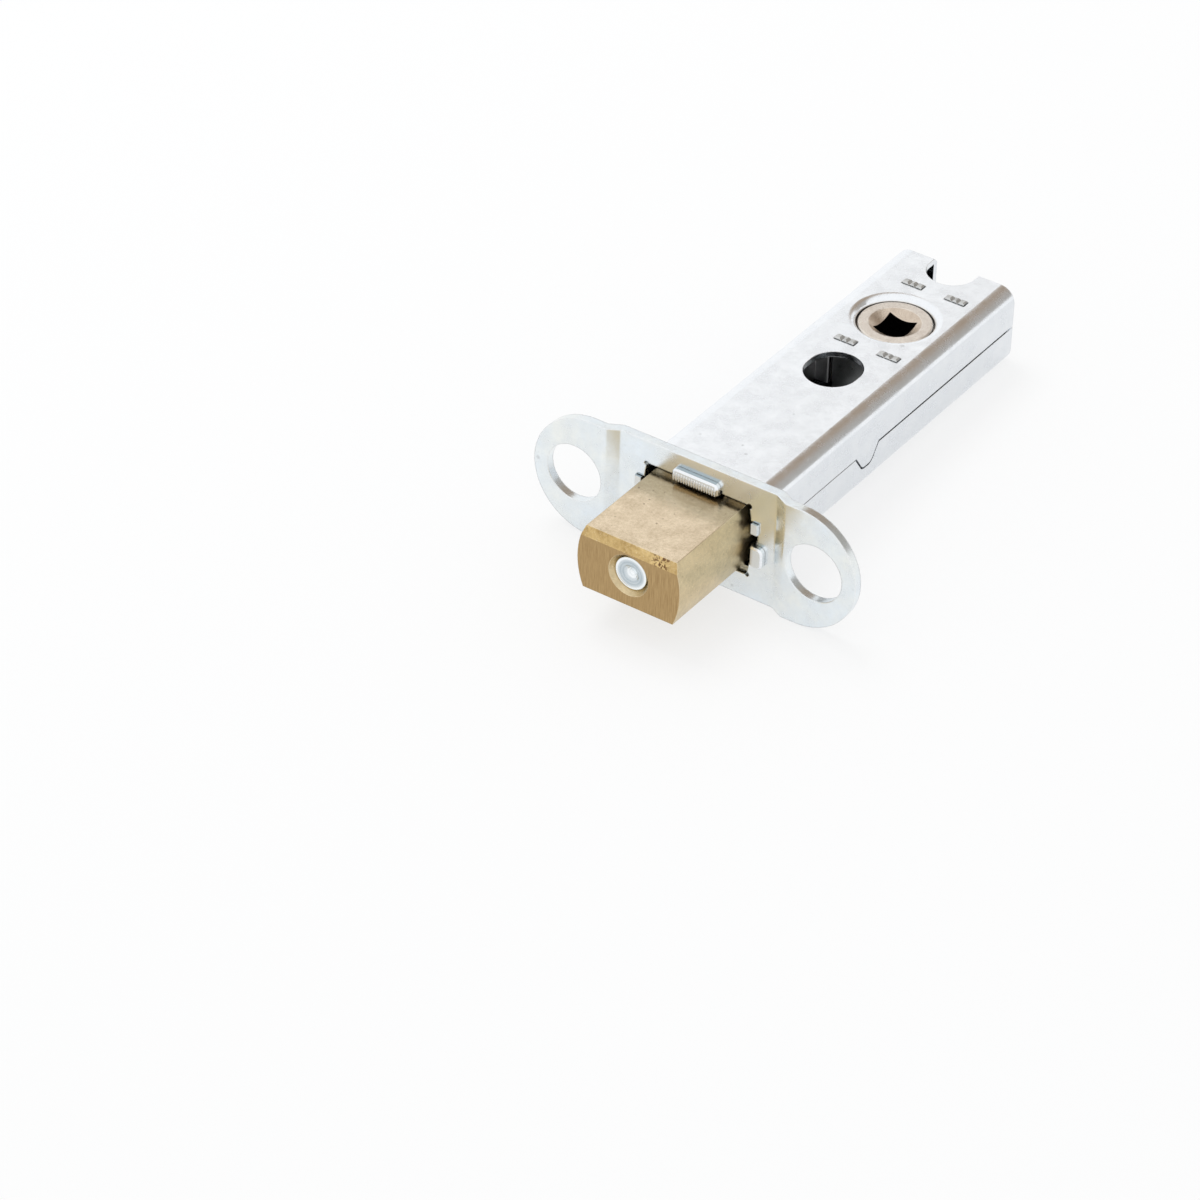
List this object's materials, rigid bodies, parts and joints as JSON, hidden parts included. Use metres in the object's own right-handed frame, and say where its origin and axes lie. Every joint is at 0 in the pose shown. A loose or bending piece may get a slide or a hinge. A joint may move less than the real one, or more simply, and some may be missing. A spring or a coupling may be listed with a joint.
{
  "type": "tubular deadbolt",
  "caption": "Tubular deadbolt with a brass bolt, a joggled forend plate, a two-part steel case and a square-socket hub that drives the bolt.",
  "frame": {"origin": "midway between the two screw holes, on the front plane of the forend's ears", "axes": "+X along the forend, +Y back along the case into the door's edge, +Z along the spindle towards the case's bevelled-bolt side"},
  "size_m": [0.059, 0.0933, 0.021],
  "materials": {
    "zinc_plate": "bright zinc plating",
    "brass": "drawn brass, lightly tarnished",
    "stud_steel": "turned and peened steel",
    "sintered": "sintered, matt plated",
    "cast_steel": "as cast, oiled",
    "spring_steel": "blued spring strip"
  },
  "bodies": {
    "case": {"forend_plate": "zinc_plate", "case_upper_shell": "zinc_plate", "case_lower_shell": "zinc_plate", "spacer_plate_front": "zinc_plate", "spacer_plate_rear": "zinc_plate", "detent_spring": "spring_steel"},
    "bolt": {"bolt_head": "brass", "bolt_stud": "stud_steel", "draw_bar": "cast_steel"},
    "hub": {"hub": "sintered"}
  },
  "joints": [
    {"name": "bolt_throw", "type": "slide", "parent": "case", "child": "bolt", "axis": [0, 1, 0], "range_m": [0, 0.0138]},
    {"name": "hub_turn", "type": "hinge", "parent": "case", "child": "hub", "pos_m": [0, 0.057, 0], "axis": [0, 0, -1], "range_deg": [0, 99.36], "deforming": ["detent_spring"]}
  ],
  "couplings": [
    {"joint": "hub_turn", "follows": "bolt_throw", "rad_per_m": 125.66}
  ]
}
